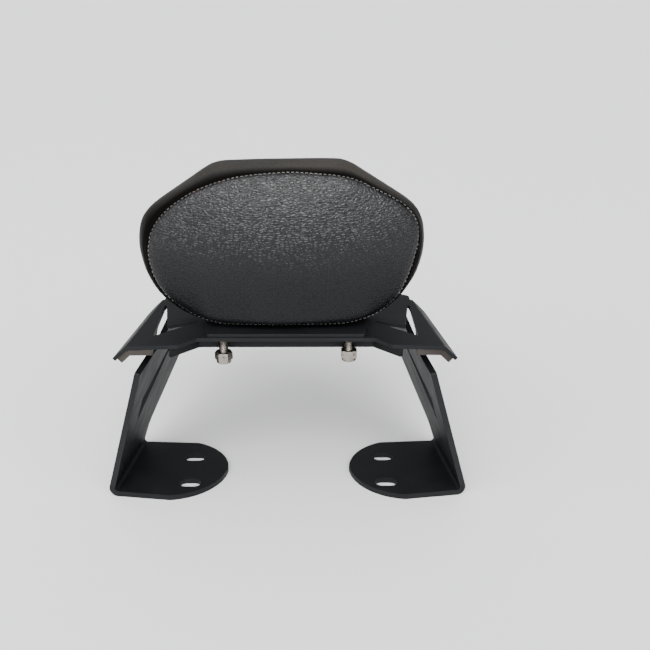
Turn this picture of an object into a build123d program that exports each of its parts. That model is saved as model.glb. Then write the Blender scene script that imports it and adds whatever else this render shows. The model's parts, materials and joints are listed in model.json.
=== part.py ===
"""Luggage rack with a backrest cushion, for the tail of a motorcycle.

Lengths are in millimetres. X runs from side to side, Y to the rear and Z up. The feet stand on Z = 0, and
X = 0 is the plane of symmetry. Right-hand pieces are drawn and the left-hand ones are their mirror images.
"""
import os

from build123d import *
from math import cos, radians, sin, tan

os.makedirs("parts", exist_ok=True)

# Sheet metal
BRACKET_SHEET = 5.0
PLATE_SHEET = 3.0
PLATE_TOP = 167.0
PLATE_UNDER = PLATE_TOP - PLATE_SHEET
FRONT = -122.35  # Y of the front edge of the wings

# Side brackets: a foot and a leaning side plate, folded along one crease
TOE_IN = 8.4  # degrees
LEAN = 18.1  # degrees
CREASE_X = 156.8
CREASE_Y = FRONT + 45.3
CREASE_LENGTH = 93.0
CREASE_BEND = 3.0
FOOT_CORNER = (105.5, FRONT + 37.8)
FOOT_FRONT_CURVE = (71.8, FRONT + 54.6)
FOOT_TIP = (56.8, FRONT + 87.8)
FOOT_REAR_CURVE = (65.7, FRONT + 114.4)
FOOT_REAR = (89.0, FRONT + 133.3)
SLOT_X = 89.7
SLOT_Y = FRONT + 82.5
SLOT_SPACING = 46.0
SLOT_LENGTH = 20.0
SLOT_WIDTH = 13.0

# Side plate, measured along the crease and up the slope from the crease's front end
KNEE = (-35.0, 142.0)
SIDE_TOP = (PLATE_UNDER - BRACKET_SHEET - BRACKET_SHEET * sin(radians(LEAN))) / cos(radians(LEAN))
SHOULDER = (30.0, 147.5)
SIDE_TOP_FRONT = 60.0
SIDE_REAR_TOP = 196.0
SIDE_REAR_KNEE = (168.0, 78.0)
SIDE_REAR_FOOT = (92.0, 24.0)
SIDE_KNEE_RADIUS = 2.0
SIDE_SHOULDER_RADIUS = 6.0
SIDE_REAR_RADIUS = 5.0
SIDE_FOOT_RADIUS = 12.0
SIDE_WINDOW = ((15.5, 67.5), (10.5, 94.5), (95.0, 125.0))
SIDE_WINDOW_RADIUS = 1.5

# Top plate
MIDDLE_FRONT = FRONT + 17.0
CHAMFER_INNER = 72.7
CHAMFER_OUTER = (86.2, FRONT + 2.8)
WING_FRONT = (128.3, FRONT)
WING_REAR = (111.6, FRONT + 105.0)
WING_TAIL = (109.5, FRONT + 114.0)
DECK_SHOULDER = (101.0, FRONT + 120.0)
DECK_REAR_HALF = 88.0
DECK_DEPTH = 245.0
DECK_REAR_RADIUS = 22.0
DECK_SHOULDER_RADIUS = 6.0
WING_TAIL_RADIUS = 5.0
MIDDLE_CORNER_RADIUS = 3.0
WINDOW = (
    (108.6, FRONT + 22.0),
    (107.6, FRONT + 101.0),
    (100.1, FRONT + 44.0),
    (71.8, FRONT + 55.0),
)
WINDOW_RADIUS = 0.8
FLANGE_ANGLE = 45.0  # degrees
FLANGE_WIDTH = 15.8
FLANGE_BEND = 1.5
FLANGE_FRONT_RADIUS = 1.0
FLANGE_REAR_RADIUS = 9.0

# Strips under the wings and the stiffener between the side plates
STRIP_THICKNESS = 5.0
STRIP_INSET = 1.0
STRIP_INNER_FRONT = (106.5, FRONT + 1.3)
STRIP_INNER_REAR = ((109.0, FRONT + 104.0), (110.0, FRONT + 60.0))
STRIP_FRONT_RADIUS = 4.0
STRIP_REAR_RADIUS = 8.0
STIFFENER_SHEET = 3.0
STIFFENER_DEPTH = 13.5
STIFFENER_BACK = FRONT + 39.5
STIFFENER_HALF = 74.0
STIFFENER_END = (96.0, FRONT + 18.0)

# Studs and nuts
STUD_X = 52.0
STUD_Y = FRONT + 28.0
STUD_RADIUS = 3.9
STUD_LENGTH = 25.0
STUD_CHAMFER = 0.8
STUD_HOLE = 4.5
NUT_FLATS = 13.0
NUT_BORE = 4.0
NUT_HEX = 6.5
NUT_CORNER_CONE = 12.6
NUT_COLLAR_HEIGHT = 3.0
NUT_COLLAR_RADIUS = 6.1
NUT_COLLAR_ROUND = 0.5
INSERT_RADIUS = 5.4
INSERT_HEIGHT = 2.4
NUT_TOP = {"left": PLATE_TOP - 16.4, "right": PLATE_TOP - 14.4}
NUT_TURN = {"left": 0, "right": 30}

# Backrest bracket
BASE_FRONT = FRONT + 18.4
BASE_FRONT_HALF = 64.7
BASE_REAR_HALF = 71.0
BASE_CORNER_RADIUS = 2.0
UPRIGHT_FACE = FRONT + 72.0
UPRIGHT_BEND = 3.0
UPRIGHT_TOP = 108.0  # over the top plate
UPRIGHT_TOP_HALF = 48.0
UPRIGHT_TOP_RADIUS = 14.0

# Cushion, with its heights measured over the top plate
CUSHION_BOTTOM = 6.0
CUSHION_TOP = 134.0
CUSHION_TOP_HALF = 52.0
CUSHION_SHOULDER = (104.0, 101.5)
CUSHION_UPPER_SIDE = (110.4, 92.0)
CUSHION_WIDEST = (113.2, 76.5)
CUSHION_LOWER_SIDE = (103.0, 38.0)
CUSHION_BOTTOM_HALF = 64.5
CUSHION_TOP_RADIUS = 16.0
CUSHION_SHOULDER_RADIUS = 14.0
CUSHION_BOTTOM_RADIUS = 24.0
CUSHION_THICKNESS = 48.0
CROWN_RADIUS = 700.0
CUSHION_EDGE = 4.0
BOARD_THICKNESS = 9.0
BOARD_INSET = 5.0

# Screws that hold the board to the upright
SCREW_SPACING_X = 70.0
SCREW_SPACING_Z = 50.0
SCREW_CENTRE = 66.0  # over the top plate
SCREW_RADIUS = 2.95
SCREW_HOLE = 3.3
SCREW_HEAD_RADIUS = 5.25
SCREW_HEAD_HEIGHT = 3.3
SCREW_HEX = 4.0
SCREW_HEX_DEPTH = 2.0
SCREW_HEAD_ROUND = 2.2
SCREW_LENGTH = 12.0
WASHER_RADIUS = 6.4
WASHER_THICKNESS = 1.6
TEE_BARREL = 3.9
TEE_BORE = 3.0
TEE_FLANGE = 9.0
TEE_FLANGE_THICKNESS = 1.2

# Weld beads under the deck, as stretches along the crease's direction
WELD_LEG = 3.5
WELDS = {"front": (68.0, 94.0), "middle": (110.0, 136.0), "rear": (152.0, 178.0)}


def finish(part, name):
    """Label a finished piece and write it to its own file."""
    part.label = name
    export_step(part, f"parts/{name}.step")


def flat(point):
    """The X and Y of a point in space."""
    return (point.X, point.Y)


# The upright's front face, on which the cushion is screwed, with heights from the top plate
back_face = Plane(origin=(0, UPRIGHT_FACE, PLATE_TOP), x_dir=(1, 0, 0), z_dir=(0, -1, 0))

# Directions of the right side bracket: along its crease, outward on the ground and square to its side plate
toe = radians(TOE_IN)
lean = radians(LEAN)
along = Vector(-sin(toe), cos(toe), 0)
outward = Vector(cos(toe), sin(toe), 0)
square = outward * cos(lean) + Vector(0, 0, sin(lean))
crease_start = Vector(CREASE_X, CREASE_Y, BRACKET_SHEET)
crease_section = Plane(origin=crease_start, x_dir=outward, z_dir=-along)
side_face = Plane(origin=crease_start, x_dir=along, z_dir=square)
side_section = Plane(origin=crease_start, x_dir=square, z_dir=-along)
crease_gap = CREASE_BEND / tan(radians(90 - LEAN) / 2)

with BuildPart() as side_bracket_right:
    foot_front = crease_start - outward * crease_gap
    foot_rear = foot_front + along * CREASE_LENGTH
    with BuildSketch(Plane.XY) as foot:
        with BuildLine():
            Polyline(flat(foot_rear), flat(foot_front), FOOT_CORNER)
            ThreePointArc(FOOT_CORNER, FOOT_FRONT_CURVE, FOOT_TIP)
            ThreePointArc(FOOT_TIP, FOOT_REAR_CURVE, FOOT_REAR)
            Line(FOOT_REAR, flat(foot_rear))
        make_face()
        with Locations((SLOT_X, SLOT_Y)), GridLocations(0, SLOT_SPACING, 1, 2):
            SlotOverall(SLOT_LENGTH, SLOT_WIDTH, mode=Mode.SUBTRACT)
    extrude(amount=BRACKET_SHEET)
    with BuildSketch(crease_section) as crease_bend:
        with BuildLine():
            inner = CenterArc((-crease_gap, CREASE_BEND), CREASE_BEND, -90, 90 + LEAN)
            outer = CenterArc((-crease_gap, CREASE_BEND), CREASE_BEND + BRACKET_SHEET, -90, 90 + LEAN)
            Line(inner @ 0, outer @ 0)
            Line(inner @ 1, outer @ 1)
        make_face()
    extrude(amount=-CREASE_LENGTH)
    with BuildSketch(side_face) as side_plate:
        with BuildLine():
            Polyline(
                (0, crease_gap),
                KNEE,
                SHOULDER,
                (SIDE_TOP_FRONT, SIDE_TOP),
                (SIDE_REAR_TOP, SIDE_TOP),
                SIDE_REAR_KNEE,
                SIDE_REAR_FOOT,
                (CREASE_LENGTH, crease_gap),
                close=True,
            )
        make_face()
        fillet(side_plate.vertices().sort_by_distance(KNEE)[0], SIDE_KNEE_RADIUS)
        fillet(side_plate.vertices().sort_by_distance(SHOULDER)[0], SIDE_SHOULDER_RADIUS)
        fillet(side_plate.vertices().sort_by_distance(SIDE_REAR_KNEE)[0], SIDE_REAR_RADIUS)
        fillet(side_plate.vertices().sort_by_distance(SIDE_REAR_FOOT)[0], SIDE_FOOT_RADIUS)
        with BuildLine():
            FilletPolyline(*SIDE_WINDOW, radius=SIDE_WINDOW_RADIUS, close=True)
        make_face(mode=Mode.SUBTRACT)
    extrude(amount=BRACKET_SHEET)
finish(side_bracket_right.part, "side_bracket_right")

with BuildPart() as side_bracket_left:
    mirror(side_bracket_right.part, about=Plane.YZ)
finish(side_bracket_left.part, "side_bracket_left")

# Directions of the right wing: back along its bend line, outward on the level and under its flange
flange_tilt = radians(FLANGE_ANGLE)
wing_line = Vector(*WING_REAR) - Vector(*WING_FRONT)
wing_back = wing_line.normalized()
wing_out = Vector(wing_back.Y, -wing_back.X, 0)
wing_corner = Vector(*WING_FRONT, PLATE_TOP)
wing_section = Plane(origin=wing_corner, x_dir=wing_out, z_dir=-wing_back)
flange_under = -wing_out * sin(flange_tilt) - Vector(0, 0, cos(flange_tilt))
flange_face = Plane(origin=wing_corner, x_dir=wing_back, z_dir=flange_under)
flange_outer = FLANGE_BEND + PLATE_SHEET
flange_gap = flange_outer * tan(flange_tilt / 2)
bend_front = wing_corner - wing_out * flange_gap
bend_rear = bend_front + wing_line
deck_corner = (DECK_REAR_HALF, FRONT + DECK_DEPTH)

with BuildPart() as top_plate:
    with BuildSketch(Plane.XY.offset(PLATE_UNDER)) as sheet:
        with BuildLine():
            Polyline(
                (0, MIDDLE_FRONT),
                (CHAMFER_INNER, MIDDLE_FRONT),
                CHAMFER_OUTER,
                flat(bend_front),
                flat(bend_rear),
                WING_TAIL,
                DECK_SHOULDER,
                deck_corner,
                (0, deck_corner[1]),
                close=True,
            )
        make_face()
        fillet(sheet.vertices().sort_by_distance(deck_corner)[0], DECK_REAR_RADIUS)
        fillet(sheet.vertices().sort_by_distance(WING_TAIL)[0], WING_TAIL_RADIUS)
        fillet(sheet.vertices().sort_by_distance(DECK_SHOULDER)[0], DECK_SHOULDER_RADIUS)
        for corner in ((CHAMFER_INNER, MIDDLE_FRONT), CHAMFER_OUTER):
            fillet(sheet.vertices().sort_by_distance(corner)[0], MIDDLE_CORNER_RADIUS)
        with BuildLine():
            FilletPolyline(*WINDOW, radius=WINDOW_RADIUS, close=True)
        make_face(mode=Mode.SUBTRACT)
        with Locations((STUD_X, STUD_Y)):
            Circle(STUD_HOLE, mode=Mode.SUBTRACT)
    extrude(amount=PLATE_SHEET)
    with BuildSketch(wing_section) as wing_bend:
        with BuildLine():
            inner = CenterArc((-flange_gap, -flange_outer), FLANGE_BEND, 90, -FLANGE_ANGLE)
            outer = CenterArc((-flange_gap, -flange_outer), flange_outer, 90, -FLANGE_ANGLE)
            Line(inner @ 0, outer @ 0)
            Line(inner @ 1, outer @ 1)
        make_face()
    extrude(amount=-wing_line.length)
    with BuildSketch(flange_face) as flange:
        with BuildLine():
            Polyline(
                (0, flange_gap),
                (wing_line.length, flange_gap),
                (wing_line.length, FLANGE_WIDTH),
                (0, FLANGE_WIDTH),
                close=True,
            )
        make_face()
        fillet(flange.vertices().sort_by_distance((wing_line.length, FLANGE_WIDTH))[0], FLANGE_REAR_RADIUS)
        fillet(flange.vertices().sort_by_distance((0, FLANGE_WIDTH))[0], FLANGE_FRONT_RADIUS)
    extrude(amount=PLATE_SHEET)
    mirror(about=Plane.YZ)
finish(top_plate.part, "top_plate")

with BuildPart() as backrest_bracket:
    with BuildSketch(Plane.XY.offset(PLATE_TOP)) as base_flange:
        with BuildLine():
            Polyline(
                (-BASE_FRONT_HALF, BASE_FRONT),
                (BASE_FRONT_HALF, BASE_FRONT),
                (BASE_REAR_HALF, UPRIGHT_FACE - UPRIGHT_BEND),
                (-BASE_REAR_HALF, UPRIGHT_FACE - UPRIGHT_BEND),
                close=True,
            )
        make_face()
        fillet(base_flange.vertices().group_by(Axis.Y)[0], BASE_CORNER_RADIUS)
        with GridLocations(2 * STUD_X, 0, 2, 1), Locations((0, STUD_Y)):
            Circle(STUD_RADIUS, mode=Mode.SUBTRACT)
    extrude(amount=PLATE_SHEET)
    with BuildSketch(Plane.YZ) as upright_bend:
        with BuildLine():
            bend_centre = (UPRIGHT_FACE - UPRIGHT_BEND, PLATE_TOP + PLATE_SHEET + UPRIGHT_BEND)
            inner = CenterArc(bend_centre, UPRIGHT_BEND, -90, 90)
            outer = CenterArc(bend_centre, UPRIGHT_BEND + PLATE_SHEET, -90, 90)
            Line(inner @ 0, outer @ 0)
            Line(inner @ 1, outer @ 1)
        make_face()
    extrude(amount=BASE_REAR_HALF, both=True)
    with BuildSketch(back_face) as upright:
        with BuildLine():
            Polyline(
                (-BASE_REAR_HALF, PLATE_SHEET + UPRIGHT_BEND),
                (BASE_REAR_HALF, PLATE_SHEET + UPRIGHT_BEND),
                (UPRIGHT_TOP_HALF, UPRIGHT_TOP),
                (-UPRIGHT_TOP_HALF, UPRIGHT_TOP),
                close=True,
            )
        make_face()
        fillet(upright.vertices().group_by(Axis.Y)[-1], UPRIGHT_TOP_RADIUS)
        with Locations((0, SCREW_CENTRE)), GridLocations(SCREW_SPACING_X, SCREW_SPACING_Z, 2, 2):
            Circle(SCREW_HOLE, mode=Mode.SUBTRACT)
    extrude(amount=-PLATE_SHEET)
finish(backrest_bracket.part, "backrest_bracket")

with BuildPart() as front_stiffener:
    with BuildSketch(Plane.XY.offset(PLATE_UNDER)):
        with BuildLine():
            Polyline(
                (-STIFFENER_END[0], STIFFENER_END[1]),
                (-STIFFENER_HALF, STIFFENER_BACK),
                (STIFFENER_HALF, STIFFENER_BACK),
                STIFFENER_END,
            )
            offset(amount=STIFFENER_SHEET, side=Side.RIGHT)
        make_face()
    extrude(amount=-STIFFENER_DEPTH)
finish(front_stiffener.part, "front_stiffener")

with BuildPart() as wing_strip_right:
    strip_front = bend_front + wing_back * STRIP_INSET
    strip_rear = bend_rear - wing_back * STRIP_INSET
    with BuildSketch(Plane.XY.offset(PLATE_UNDER)) as strip_flat:
        with BuildLine():
            Polyline(STRIP_INNER_FRONT, flat(strip_front), flat(strip_rear), *STRIP_INNER_REAR, close=True)
        make_face()
    extrude(amount=-STRIP_THICKNESS)
    with BuildSketch(flange_face.offset(PLATE_SHEET)) as strip_flange:
        with BuildLine():
            Polyline(
                (STRIP_INSET, flange_gap),
                (wing_line.length - STRIP_INSET, flange_gap),
                (wing_line.length - STRIP_INSET, FLANGE_WIDTH - STRIP_INSET),
                (STRIP_INSET, FLANGE_WIDTH - STRIP_INSET),
                close=True,
            )
        make_face()
        fillet(strip_flange.vertices().group_by(Axis.Y)[-1].sort_by(Axis.X)[0], STRIP_FRONT_RADIUS)
        fillet(strip_flange.vertices().group_by(Axis.Y)[-1].sort_by(Axis.X)[-1], STRIP_REAR_RADIUS)
    extrude(amount=STRIP_THICKNESS)
finish(wing_strip_right.part, "wing_strip_right")

with BuildPart() as wing_strip_left:
    mirror(wing_strip_right.part, about=Plane.YZ)
finish(wing_strip_left.part, "wing_strip_left")

# Weld beads fill the wedge between the leaning side plates and the deck
weld_reach = BRACKET_SHEET / cos(lean) + WELD_LEG
for place, (weld_from, weld_to) in WELDS.items():
    with BuildPart() as weld_right:
        with BuildSketch(side_section.offset(-weld_from)) as weld_section:
            with BuildLine():
                Polyline(
                    (0, SIDE_TOP),
                    (BRACKET_SHEET, SIDE_TOP),
                    (BRACKET_SHEET - weld_reach * cos(lean), SIDE_TOP + weld_reach * sin(lean)),
                    (0, SIDE_TOP - WELD_LEG),
                    close=True,
                )
            make_face()
        extrude(amount=weld_from - weld_to)
    finish(weld_right.part, f"weld_{place}_right")
    with BuildPart() as weld_left:
        mirror(weld_right.part, about=Plane.YZ)
    finish(weld_left.part, f"weld_{place}_left")

# Studs stand in the base flange, and their locknuts are run on from below by a few turns
for side, sign in {"left": -1, "right": 1}.items():
    stud_x = sign * STUD_X
    with BuildPart() as stud:
        with BuildSketch(Plane.XY.offset(PLATE_TOP + PLATE_SHEET)):
            with Locations((stud_x, STUD_Y)):
                Circle(STUD_RADIUS)
        extrude(amount=-STUD_LENGTH)
        chamfer(stud.edges().sort_by(Axis.Z)[0], STUD_CHAMFER)
    finish(stud.part, f"stud_{side}")

    nut_top = NUT_TOP[side]
    collar_top = nut_top - NUT_HEX
    nut_bottom = collar_top - NUT_COLLAR_HEIGHT
    with BuildPart() as nut:
        with BuildSketch(Plane.XY.offset(nut_top)):
            with Locations((stud_x, STUD_Y)):
                RegularPolygon(NUT_FLATS / 2, 6, major_radius=False, rotation=NUT_TURN[side])
        extrude(amount=-NUT_HEX)
        with Locations((stud_x, STUD_Y, nut_top)):
            Cone(
                NUT_CORNER_CONE,
                NUT_FLATS / 2,
                NUT_HEX,
                align=(Align.CENTER, Align.CENTER, Align.MAX),
                mode=Mode.INTERSECT,
            )
        with BuildSketch(Plane.XY.offset(collar_top)):
            with Locations((stud_x, STUD_Y)):
                Circle(NUT_COLLAR_RADIUS)
        extrude(amount=-NUT_COLLAR_HEIGHT)
        fillet(nut.edges().filter_by(GeomType.CIRCLE).sort_by(Axis.Z)[0], NUT_COLLAR_ROUND)
        with BuildSketch(Plane.XY.offset(nut_bottom)):
            with Locations((stud_x, STUD_Y)):
                Circle(INSERT_RADIUS)
        extrude(amount=INSERT_HEIGHT, mode=Mode.SUBTRACT)
        with Locations((stud_x, STUD_Y, nut_top)):
            Hole(NUT_BORE)
    finish(nut.part, f"nut_{side}")

    with BuildPart() as nut_insert:
        with BuildSketch(Plane.XY.offset(nut_bottom)):
            with Locations((stud_x, STUD_Y)):
                Circle(INSERT_RADIUS)
                Circle(NUT_BORE, mode=Mode.SUBTRACT)
        extrude(amount=INSERT_HEIGHT)
    finish(nut_insert.part, f"nut_insert_{side}")

# The cushion's outline, seen from the front
cushion_top_corner = (CUSHION_TOP_HALF, CUSHION_TOP)
cushion_foot = (CUSHION_BOTTOM_HALF, CUSHION_BOTTOM)
with BuildSketch(back_face) as cushion_outline:
    with BuildLine():
        Polyline((0, CUSHION_BOTTOM), (0, CUSHION_TOP), cushion_top_corner, CUSHION_SHOULDER)
        ThreePointArc(CUSHION_SHOULDER, CUSHION_UPPER_SIDE, CUSHION_WIDEST)
        ThreePointArc(CUSHION_WIDEST, CUSHION_LOWER_SIDE, cushion_foot)
        Line(cushion_foot, (0, CUSHION_BOTTOM))
    make_face()
    fillet(cushion_outline.vertices().sort_by_distance(cushion_top_corner)[0], CUSHION_TOP_RADIUS)
    fillet(cushion_outline.vertices().sort_by_distance(CUSHION_SHOULDER)[0], CUSHION_SHOULDER_RADIUS)
    fillet(cushion_outline.vertices().sort_by_distance(cushion_foot)[0], CUSHION_BOTTOM_RADIUS)
    mirror(about=Plane.YZ)

with BuildSketch(back_face) as board_outline:
    add(cushion_outline.sketch_local)
    offset(amount=-BOARD_INSET)

crown_y = UPRIGHT_FACE - CUSHION_THICKNESS + CROWN_RADIUS
crown_z = PLATE_TOP + (CUSHION_TOP + CUSHION_BOTTOM) / 2

with BuildPart() as cushion:
    extrude(cushion_outline.sketch, amount=CUSHION_THICKNESS)
    with Locations((0, crown_y, crown_z)):
        Sphere(CROWN_RADIUS, mode=Mode.INTERSECT)
    fillet(cushion.faces().sort_by(Axis.Y)[0].edges(), CUSHION_EDGE)
    extrude(board_outline.sketch, amount=BOARD_THICKNESS, mode=Mode.SUBTRACT)
finish(cushion.part, "cushion")

screw_places = GridLocations(SCREW_SPACING_X, SCREW_SPACING_Z, 2, 2).local_locations
screw_centres = [(place.position.X, SCREW_CENTRE + place.position.Y) for place in screw_places]
board_front = back_face.offset(BOARD_THICKNESS)
washer_face = back_face.offset(-PLATE_SHEET)
head_face = washer_face.offset(-WASHER_THICKNESS)

with BuildPart() as backboard:
    extrude(board_outline.sketch, amount=BOARD_THICKNESS)
    with BuildSketch(board_front):
        with Locations(*screw_centres):
            Circle(TEE_FLANGE)
    extrude(amount=-TEE_FLANGE_THICKNESS, mode=Mode.SUBTRACT)
    with BuildSketch(board_front):
        with Locations(*screw_centres):
            Circle(TEE_BARREL)
    extrude(amount=-BOARD_THICKNESS, mode=Mode.SUBTRACT)
finish(backboard.part, "backboard")

# Each screw passes a washer and the upright and ends in a flanged insert in the board
for number, centre in enumerate(screw_centres, start=1):
    with BuildPart() as tee_nut:
        with BuildSketch(board_front):
            with Locations(centre):
                Circle(TEE_FLANGE)
        extrude(amount=-TEE_FLANGE_THICKNESS)
        with BuildSketch(board_front):
            with Locations(centre):
                Circle(TEE_BARREL)
        extrude(amount=-BOARD_THICKNESS)
        with BuildSketch(board_front):
            with Locations(centre):
                Circle(TEE_BORE)
        extrude(amount=-BOARD_THICKNESS, mode=Mode.SUBTRACT)
    finish(tee_nut.part, f"tee_nut_{number}")

    with BuildPart() as washer:
        with BuildSketch(washer_face):
            with Locations(centre):
                Circle(WASHER_RADIUS)
                Circle(SCREW_HOLE, mode=Mode.SUBTRACT)
        extrude(amount=-WASHER_THICKNESS)
    finish(washer.part, f"cushion_washer_{number}")

    with BuildPart() as screw:
        with BuildSketch(head_face):
            with Locations(centre):
                Circle(SCREW_HEAD_RADIUS)
        extrude(amount=-SCREW_HEAD_HEIGHT)
        fillet(screw.edges().sort_by(Axis.Y)[-1], SCREW_HEAD_ROUND)
        with BuildSketch(head_face.offset(-SCREW_HEAD_HEIGHT)):
            with Locations(centre):
                RegularPolygon(SCREW_HEX / 2, 6, major_radius=False)
        extrude(amount=SCREW_HEX_DEPTH, mode=Mode.SUBTRACT)
        with BuildSketch(head_face):
            with Locations(centre):
                Circle(SCREW_RADIUS)
        extrude(amount=SCREW_LENGTH)
    finish(screw.part, f"cushion_screw_{number}")
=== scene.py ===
"""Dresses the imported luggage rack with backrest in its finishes, and builds its cushion and threaded studs.

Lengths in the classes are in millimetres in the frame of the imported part: X runs from side to side, Y to the
rear and Z up from the floor that the feet stand on. Meshes are in metres, as Blender has them.
"""

import json
import logging
import math
from dataclasses import dataclass
from enum import Enum
from typing import Any, Sequence

import bpy
import numpy as np
from bpy.types import Material, Node, NodeSocket, NodeTree, Object
from mathutils import Matrix, Vector

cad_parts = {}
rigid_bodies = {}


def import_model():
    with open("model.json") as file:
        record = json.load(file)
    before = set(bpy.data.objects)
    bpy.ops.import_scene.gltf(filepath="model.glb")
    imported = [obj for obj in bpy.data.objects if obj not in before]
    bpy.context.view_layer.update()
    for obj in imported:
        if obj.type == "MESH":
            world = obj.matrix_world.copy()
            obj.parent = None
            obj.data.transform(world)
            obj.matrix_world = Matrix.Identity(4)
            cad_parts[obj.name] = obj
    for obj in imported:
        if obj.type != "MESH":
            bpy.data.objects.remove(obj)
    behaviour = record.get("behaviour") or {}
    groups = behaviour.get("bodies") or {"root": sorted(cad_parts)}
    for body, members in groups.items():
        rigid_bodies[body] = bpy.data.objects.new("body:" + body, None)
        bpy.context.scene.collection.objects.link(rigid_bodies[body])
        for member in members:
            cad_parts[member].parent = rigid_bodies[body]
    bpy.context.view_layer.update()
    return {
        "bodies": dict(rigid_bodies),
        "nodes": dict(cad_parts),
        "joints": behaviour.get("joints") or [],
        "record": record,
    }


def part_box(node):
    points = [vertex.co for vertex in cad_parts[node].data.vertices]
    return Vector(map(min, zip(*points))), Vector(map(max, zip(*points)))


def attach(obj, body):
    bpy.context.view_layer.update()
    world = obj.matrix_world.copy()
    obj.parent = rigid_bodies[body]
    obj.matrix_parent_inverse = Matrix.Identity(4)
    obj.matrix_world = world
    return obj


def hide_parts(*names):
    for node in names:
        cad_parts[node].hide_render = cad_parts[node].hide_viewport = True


LOG = logging.getLogger("luggage_rack")
MM = 0.001
BODY = "root"
SEAM_ATTRIBUTE = "from_seam"

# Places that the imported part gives, in millimetres
WING_FRONT = -122.35
PLATE_TOP = 167.0
UPRIGHT_FACE = WING_FRONT + 72.0

# The record's slots, each with its field in Finishes
SLOTS = {
    "black_coat": "coat", "bright_steel": "steel", "screw_steel": "screw", "nylon": "nylon",
    "strip": "strip", "leatherette": "band", "board": "board",
}

# Points of a mesh that lie nearer than this, in millimetres, become one
WELD = 0.01

# Socket types of the node groups
FLOAT = "NodeSocketFloat"
VECTOR = "NodeSocketVector"

# How the leatherette changes with height over the floor: two heights in metres, and the values there. The
# band's painted shade along the seam reaches further from it lower down, in millimetres; the panel's specular
# level rises towards the top for a painted sheen.
PRESS_HEIGHTS, PRESS_SHARES = (0.18, 0.265), (0.4, 1.0)
PANEL_HEIGHTS, PANEL_SHEEN_LEVELS = (0.185, 0.285), (0.19, 0.44)
SEAM_SHADE_HEIGHTS, SEAM_SHADE_REACHES = (0.25, 0.308), (42.0, 13.0)
BAND_SPECULAR = 0.28

# The dip at the seam as waves across it: depth, place outside the seam and width, in millimetres
SEAM_WAVES = ((1.9, 0.1, 1.0), (0.6, -1.6, 3.2), (1.1, 3.2, 3.4))

# The cushion's rounded back edge: how far in from the rim and before the back face each ring lies
BACK_EDGE = ((7.0, 0.0), (3.2, 0.6), (1.2, 3.2))

# Points of the dense seam line, and the steps along it that a search for the nearest one tries
SEAM_POINTS = 1440
SEARCH = range(-60, 61, 3)

Colour = tuple[float, float, float]
Point = tuple[float, float]


class Side(Enum):
    """One half of the rack, with the sign of its X."""

    LEFT = -1
    RIGHT = 1


class Grain(Enum):
    """How a leatherette face is embossed."""

    PEBBLED = "pebbled"
    SMOOTH = "smooth"


# Helpers on meshes


def deselect() -> None:
    """Deselects every object, since operators act on all that is selected."""
    for other in bpy.context.view_layer.objects:
        other.select_set(False)


def pick(obj: Object) -> None:
    """Makes an object the only selected one and the active one.

    Args:
        obj: The object for the next operators.
    """
    deselect()
    obj.select_set(True)
    bpy.context.view_layer.objects.active = obj


def named(name: str) -> Object:
    """Gives the new primitive its name.

    Args:
        name: Name of the piece.

    Returns:
        The active object.
    """
    obj = bpy.context.active_object
    obj.name = name
    obj.data.name = name
    return obj


def settle(obj: Object) -> None:
    """Applies an object's place, turn and scale, so that its place is in its mesh."""
    pick(obj)
    bpy.ops.object.transform_apply(location=True, rotation=True, scale=True)


def apply_modifiers(obj: Object) -> None:
    """Applies all modifiers of an object, from first to last.

    Args:
        obj: The object that carries them.
    """
    pick(obj)
    for modifier in list(obj.modifiers):
        bpy.ops.object.modifier_apply(modifier=modifier.name)


def placed(name: str, data: Any) -> Object:
    """Makes an object of its data and links it to the scene.

    Args:
        name: Name of the object.
        data: Its mesh, camera or light.

    Returns:
        The object.
    """
    obj = bpy.data.objects.new(name, data)
    bpy.context.scene.collection.objects.link(obj)
    return obj


def close_up(obj: Object, weld: float = 0.0) -> None:
    """Joins the points of a closed form that lie together, and turns its faces outwards.

    Args:
        obj: The closed form.
        weld: How near such points lie, in millimetres, or nothing to join none.
    """
    pick(obj)
    bpy.ops.object.mode_set(mode="EDIT")
    bpy.ops.mesh.select_all(action="SELECT")
    if weld:
        bpy.ops.mesh.remove_doubles(threshold=weld * MM)
    bpy.ops.mesh.normals_make_consistent(inside=False)
    bpy.ops.object.mode_set(mode="OBJECT")


def even_out(obj: Object, voxel: float) -> None:
    """Remeshes a closed form in even faces.

    Args:
        obj: The closed form.
        voxel: Length of a face in millimetres.
    """
    remesh = obj.modifiers.new("even", "REMESH")
    remesh.mode = "VOXEL"
    remesh.voxel_size = voxel * MM
    apply_modifiers(obj)


def dress(obj: Object, material: Material) -> None:
    """Gives an object one material all over.

    Args:
        obj: A CAD node or a new piece.
        material: The finish.
    """
    if obj.material_slots:
        for place in obj.material_slots:
            place.material = material
    else:
        obj.data.materials.append(material)


def points_of(obj: Object, what: str = "co") -> np.ndarray:
    """Reads an object's vertices.

    Args:
        obj: A mesh object.
        what: "co" for their places in metres, or "normal" for their directions.

    Returns:
        One row a vertex.
    """
    rows = np.zeros(len(obj.data.vertices) * 3)
    obj.data.vertices.foreach_get(what, rows)
    return rows.reshape(-1, 3)


def move_points(obj: Object, places: np.ndarray) -> None:
    """Puts an object's vertices at new places, one row a vertex, in metres."""
    obj.data.vertices.foreach_set("co", places.reshape(-1))
    obj.data.update()


# Helpers on node trees


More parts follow.
